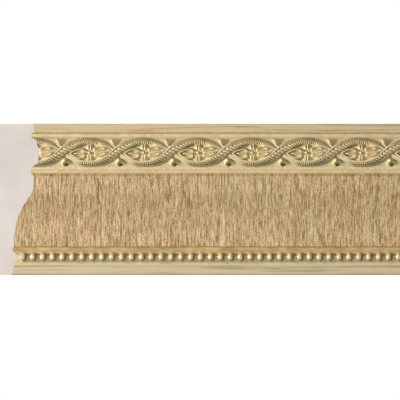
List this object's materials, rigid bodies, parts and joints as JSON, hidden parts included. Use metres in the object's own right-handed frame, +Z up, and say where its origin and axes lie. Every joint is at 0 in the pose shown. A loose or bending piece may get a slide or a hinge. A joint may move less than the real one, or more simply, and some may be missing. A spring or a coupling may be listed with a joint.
{
  "type": "cornice moulding",
  "caption": "Short length of flat-backed ogee cornice moulding with a guilloche and leaf torus and a row of beads, in wood-grain foil, mitred at one end.",
  "frame": {"origin": "middle of the flat back, in the plane of the wall", "axes": "+X along the length, towards the square end; +Y into the wall; +Z up, towards the ceiling"},
  "size_m": [0.32, 0.035, 0.12],
  "materials": {
    "wood_grain_foil": "satin, champagne wood grain"
  },
  "bodies": {
    "root": {"cornice_moulding": "wood_grain_foil"}
  },
  "joints": []
}
